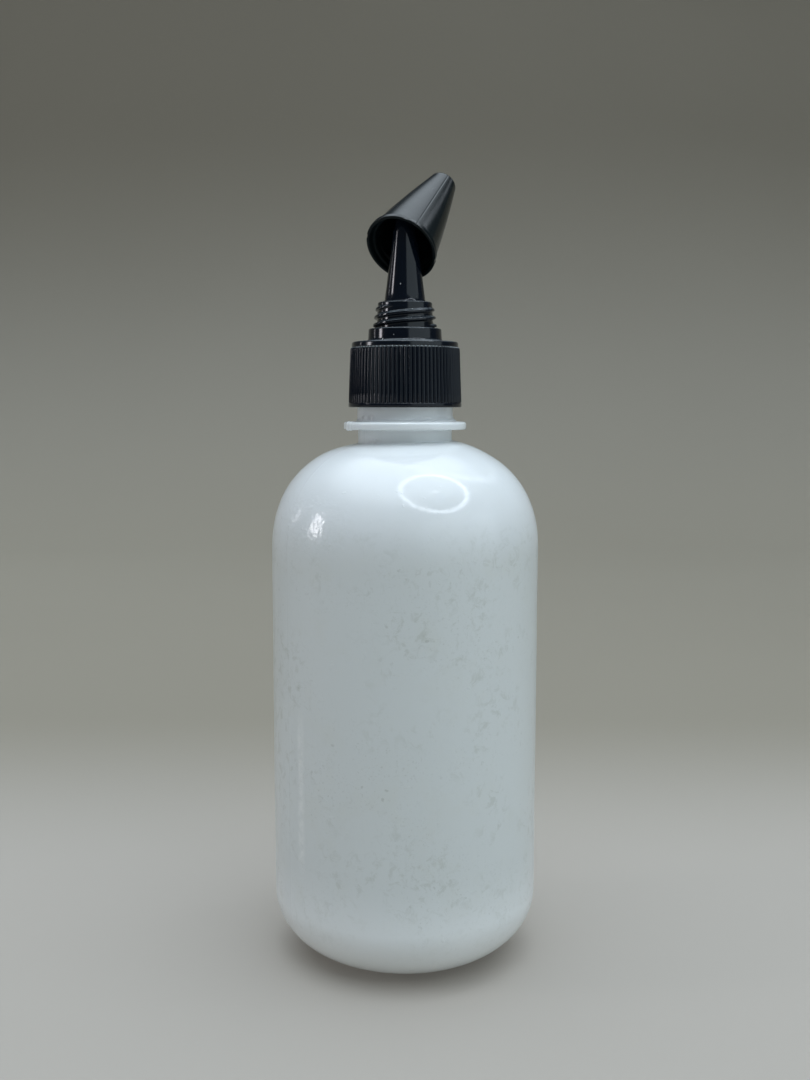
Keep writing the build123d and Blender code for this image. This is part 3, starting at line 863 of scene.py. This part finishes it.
def closure_material():
    m = BlackPlastic("black_closure_gloss",
                     dark=(0.0020, 0.0042, 0.0090, 1), light=(0.0030, 0.0056, 0.0108, 1))
    z = m.separate(m.coords)[2]
    # a pale broken band round the ribs' top: partly wear on the rib ends, partly a painted
    # highlight
    low, high = 0.16895, 0.16932
    broken = m.noise(scale=170.0, detail=3.0, rough=0.6)
    rib_top_wear_and_highlight = m.mul(m.ramp(z, span=(low, low + 0.00028)),
                 m.ramp(z, span=(high, high + 0.00006), to=(1.0, 0.0)),
                 m.ramp(broken, span=(0.36, 0.60), to=(0.35, 1.0)))
    m.colour = m.layer(m.colour, (0.24, 0.27, 0.28, 1), rib_top_wear_and_highlight, strength=0.85)
    # upper flanks of the thread and the deck are painted paler in patches: a painted reflection of
    # the light from above
    patchy = m.noise(scale=240.0, detail=4.0, rough=0.65)
    painted_top_highlight = m.mul(m.ramp(m.normal_z, span=(0.22, 0.75)),
                m.ramp(z, span=(0.1698, 0.1704)),
                m.ramp(patchy, span=(0.36, 0.66), to=(0.25, 1.0)))
    m.colour = m.layer(m.colour, (0.17, 0.21, 0.23, 1), painted_top_highlight, strength=0.30)
    m.set("Roughness", m.finish(gloss=0.12, dust=0.7))
    # the ribbed skirt is less shiny than the parts above it
    m.set("Specular IOR Level", m.ramp(z, span=(0.1690, 0.1697), to=(0.33, 0.5)))
    return m.mat


def overcap_material():
    m = BlackPlastic("black_overcap_gloss",
                     dark=(0.0020, 0.0050, 0.0060, 1), light=(0.0030, 0.0066, 0.0078, 1))
    roughness = m.finish(gloss=0.20, dust=0.4)
    # the inside is made duller and reflects less, which paints shade into the hollow: its faces
    # look towards the axis or back down it
    axis = tuple(OVERCAP_AXIS)
    normal = m.geometry["True Normal"]
    place = m.new("ShaderNodeVectorMath", {0: m.coords, 1: tuple(OVERCAP_CENTRE)},
                  operation="SUBTRACT").outputs[0]
    normal_along = m.dot(normal, axis)
    outward = m.math("SUBTRACT", m.dot(place, normal), m.mul(m.dot(place, axis), normal_along))
    inside = m.math("MAXIMUM", m.ramp(outward, span=(-0.0010, 0.0002), to=(1.0, 0.0)),
                    m.ramp(normal_along, span=(-0.90, -0.60), to=(1.0, 0.0)))
    m.set("Roughness", m.add(roughness, m.mul(inside, 0.30)))
    # reflecting less here is painted shade inside the hollow
    m.set("Specular IOR Level", m.ramp(inside, span=(0.0, 1.0), to=(0.43, 0.12), smooth=False))
    return m.mat


def foam_material():
    m = Material("wad_foam")
    cells = m.new("ShaderNodeTexVoronoi", {"Scale": 2600.0, "Vector": m.coords}, feature="F1")
    cell = m.ramp(cells.outputs["Distance"], span=(0.1, 0.6))
    colour = m.layer((0.74, 0.74, 0.71, 1), (0.86, 0.86, 0.83, 1), cell)
    colour = m.layer(colour, (0.66, 0.65, 0.60, 1), m.noise(scale=300.0, detail=3.0),
                     strength=0.2)
    m.set("Base Color", colour)
    m.set("Roughness", m.ramp(m.noise(scale=800.0), span=(0.3, 0.7), to=(0.72, 0.88)))
    m.bump(cell, strength=0.5, distance=0.00008)
    return m.mat


bottle.data.materials.append(hdpe_material())
wad.data.materials.append(foam_material())
closure.data.materials.append(closure_material())
overcap.data.materials.append(overcap_material())

# ---------------------------------------------------------------- stage, in metres
BACKDROP = (0.150, 0.148, 0.128, 1)
SWEEP_HALF = 3.6                     # half the floor's width, and its reach to the front
SWEEP_BACK, SWEEP_R, SWEEP_TOP = 0.9, 0.55, 0.86
FLOOR_FADE = (0.03, 0.26)            # y over which the pale floor turns into the darker back, and over which the floor's painted glow fades out


def floor_material():
    m = Material("pale_floor")
    y = m.separate(m.coords)[1]
    pale = m.layer((0.335, 0.310, 0.276, 1), (0.355, 0.330, 0.296, 1),
                   m.noise(scale=6.0, detail=4.0))
    back = m.layer((0.245, 0.222, 0.176, 1), (0.262, 0.238, 0.190, 1),
                   m.noise(scale=3.0, detail=3.0))
    m.set("Base Color", m.layer(pale, back, m.ramp(y, span=FLOOR_FADE)))
    m.set("Roughness", 0.62)
    # the front floor glows a little: painted light that lifts the bottle's shadow and lights its
    # base
    m.set("Emission Color", (0.420, 0.405, 0.380, 1))
    m.set("Emission Strength", m.ramp(y, span=FLOOR_FADE, to=(0.125, 0.0)))
    # far off, the floor and the sweep fade into the plain backdrop
    distance = m.new("ShaderNodeVectorMath", {0: m.geometry["Position"]}, operation="LENGTH")
    camera_ray = m.new("ShaderNodeLightPath").outputs["Is Camera Ray"]
    far = m.mul(m.ramp(distance.outputs["Value"], span=(1.55, 2.9)), camera_ray)
    plain = m.new("ShaderNodeEmission", {"Color": BACKDROP}).outputs[0]
    faded = m.mix_shader(far, m.bsdf.outputs[0], plain)
    # seen from behind, it is clear
    clear = m.new("ShaderNodeBsdfTransparent").outputs[0]
    m.put(m.out.inputs[0], m.mix_shader(m.geometry["Backfacing"], faded, clear))
    return m.mat


def floor_sweep():
    """A floor that curves up behind."""
    arc = 24
    profile = [(-SWEEP_HALF, 0.0), (SWEEP_BACK, 0.0)]
    for i in range(1, arc + 1):
        a = math.pi / 2 * i / arc
        profile.append((SWEEP_BACK + SWEEP_R * math.sin(a), SWEEP_R * (1 - math.cos(a))))
    profile.append((SWEEP_BACK + SWEEP_R, SWEEP_TOP))
    verts = [(x, y, z) for x in (-SWEEP_HALF, SWEEP_HALF) for y, z in profile]
    m = len(profile)
    faces = [(i, m + i, m + i + 1, i + 1) for i in range(m - 1)]
    floor = add_object("floor_sweep", verts, faces, smooth=True)
    floor.data.materials.append(floor_material())


floor_sweep()

# ---------------------------------------------------------------- lights
TARGET = Vector((0, 0, 0.135))
RING_DISTANCE = 1.15
RING_COLOUR = (0.826, 0.912, 1.0)


def direction(azimuth, elevation):
    """Unit vector towards a light, from degrees: azimuth 0 is the viewer's side, positive to
    the right; elevation is above the horizon."""
    a, e = math.radians(azimuth), math.radians(elevation)
    return Vector((math.sin(a) * math.cos(e), -math.cos(a) * math.cos(e), math.sin(e)))


def emitter(name, verts, faces, strength):
    """A glowing mesh that the camera does not see."""
    obj = add_object(name, verts, faces)
    mat = bpy.data.materials.new(name)
    graph = Graph(mat)
    glow = graph.new("ShaderNodeEmission", {"Color": (*RING_COLOUR, 1), "Strength": strength})
    graph.new("ShaderNodeOutputMaterial", {0: glow.outputs[0]})
    obj.data.materials.append(mat)
    obj.visible_camera = False


def lamp_plane(azimuth, elevation):
    """Centre and two axes of a plane that faces the target."""
    towards = direction(azimuth, elevation)
    across = towards.cross(Vector((0, 0, 1))).normalized()
    return TARGET + towards * RING_DISTANCE, across, across.cross(towards).normalized()


def ring_band(name, plane, radius, width, strength, arc=(0.0, 360.0)):
    centre, across, up = plane
    verts, n = [], 96
    for i in range(n + 1):
        a = math.radians(arc[0] + (arc[1] - arc[0]) * i / n)
        spoke = across * math.cos(a) + up * math.sin(a)
        verts += [tuple(centre + spoke * (radius - width / 2)),
                  tuple(centre + spoke * (radius + width / 2))]
    faces = [(2 * i, 2 * i + 1, 2 * i + 3, 2 * i + 2) for i in range(n)]
    emitter(name, verts, faces, strength)


def disc(name, plane, radius, strength):
    centre, across, up = plane
    verts, n = [tuple(centre)], 24
    for i in range(n):
        a = TAU * i / n
        verts.append(tuple(centre + (across * math.cos(a) + up * math.sin(a)) * radius))
    emitter(name, verts, [(0, 1 + i, 1 + (i + 1) % n) for i in range(n)], strength)


def area_light(name, azimuth, elevation, distance, width, height, watts, colour):
    towards = direction(azimuth, elevation)
    light = bpy.data.lights.new(name, "AREA")
    light.shape = "RECTANGLE"
    light.size, light.size_y = width, height
    light.energy = watts
    light.color = colour
    light.spread = math.radians(180.0)
    obj = bpy.data.objects.new(name, light)
    bpy.context.scene.collection.objects.link(obj)
    obj.location = TARGET + towards * distance
    obj.rotation_mode = "QUATERNION"
    obj.rotation_quaternion = towards.to_track_quat("Z", "Y")


# a ring lamp at the front right with a small lamp in its middle
RING_STRENGTH = 7.4
front_plane = lamp_plane(azimuth=42.5, elevation=58.6)
ring_band("ring_light", front_plane, radius=0.505, width=0.078, strength=RING_STRENGTH)
disc("ring_light_middle", front_plane, radius=0.030, strength=RING_STRENGTH * 1.4)

# part of a ring behind, in arcs of growing strength: start and end in degrees, strength
BOUNCE_ARCS = ((-112.0, -84.0, 0.28), (-84.0, -56.0, 0.45), (-56.0, -25.0, 0.8),
               (-25.0, 10.0, 2.0), (10.0, 100.0, 3.6))
back_plane = lamp_plane(azimuth=150.0, elevation=55.0)
for start, end, strength in BOUNCE_ARCS:
    ring_band("ring_bounce", back_plane, radius=0.52, width=0.150, strength=strength,
              arc=(start, end))

# name, azimuth, elevation, distance, width, height, watts, colour
for light_values in (
        ("left_window", -83.0, 13.0, 1.4, 0.22, 0.38, 2.4, (0.97, 0.95, 1.0)),
        ("left_window_far", -111.0, 13.0, 1.4, 0.06, 0.24, 0.16, (0.97, 0.95, 1.0)),
        ("right_soft", 49.0, 12.0, 1.6, 2.3, 1.1, 5.8, (0.80, 0.94, 1.0))):
    area_light(*light_values)


def studio_world():
    """Bright overhead and dim below for the lighting; the camera sees the plain backdrop."""
    world = bpy.data.worlds.new("studio")
    bpy.context.scene.world = world
    graph = Graph(world)
    up = graph.separate(graph.new("ShaderNodeTexCoord").outputs["Generated"])[2]
    strength = graph.ramp(up, span=(0.62, 0.93), to=(0.06, 2.5))
    sky = graph.new("ShaderNodeBackground",
                    {"Color": (0.815, 0.915, 1.0, 1), "Strength": strength})
    seen = graph.new("ShaderNodeBackground", {"Color": BACKDROP})
    camera_ray = graph.new("ShaderNodeLightPath").outputs["Is Camera Ray"]
    surface = graph.mix_shader(camera_ray, sky.outputs[0], seen.outputs[0])
    graph.new("ShaderNodeOutputWorld", {0: surface})


studio_world()

# ---------------------------------------------------------------- camera
PITCH_DOWN = math.radians(6.39)
camera_data = bpy.data.cameras.new("camera")
camera = bpy.data.objects.new("camera", camera_data)
bpy.context.scene.collection.objects.link(camera)
camera.location = (0.0, -0.3324, 0.1536)
camera.rotation_euler = (math.pi / 2 - PITCH_DOWN, 0.0, 0.0)
camera_data.sensor_fit = "AUTO"
camera_data.sensor_width = 36.0
camera_data.lens = 40.0
camera_data.clip_start, camera_data.clip_end = 0.02, 20.0
bpy.context.scene.camera = camera

view = bpy.context.scene.view_settings
view.view_transform = "Standard"
view.look = "None"
view.exposure = 0.0
view.gamma = 1.0
